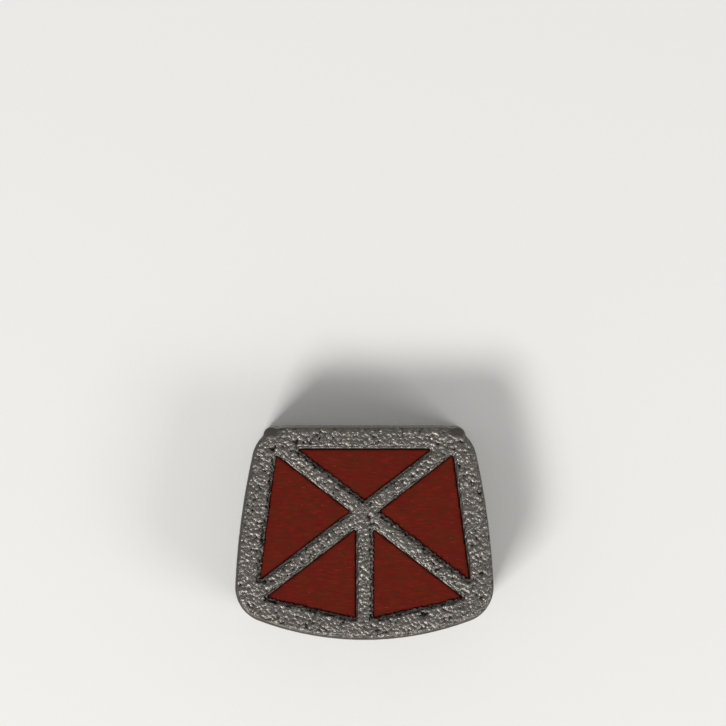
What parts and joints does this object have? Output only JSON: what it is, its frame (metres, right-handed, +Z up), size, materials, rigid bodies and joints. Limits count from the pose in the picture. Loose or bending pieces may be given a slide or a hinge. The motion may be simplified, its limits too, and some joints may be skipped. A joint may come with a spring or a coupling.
{
  "type": "spinal interbody cage",
  "caption": "Printed titanium spinal interbody cage with crossed webs, five graft windows packed with bone graft, a top that slopes down to the back and a threaded inserter hole.",
  "frame": {"origin": "on the flat lower face, under the middle of the cage in plan", "axes": "+Z up from the flat lower face to the sloping upper face, +Y to the straight back wall, -Y to the bowed front wall with the inserter hole, X across"},
  "size_m": [0.014, 0.0116, 0.0066],
  "materials": {
    "printed_titanium": "as-printed porous titanium alloy, rough grey grain",
    "bone_graft": "packed bone graft, dark red and damp"
  },
  "bodies": {
    "root": {"cage_frame": "printed_titanium", "graft_posterior": "bone_graft", "graft_left": "bone_graft", "graft_right": "bone_graft", "graft_anterior_left": "bone_graft", "graft_anterior_right": "bone_graft"}
  },
  "joints": []
}
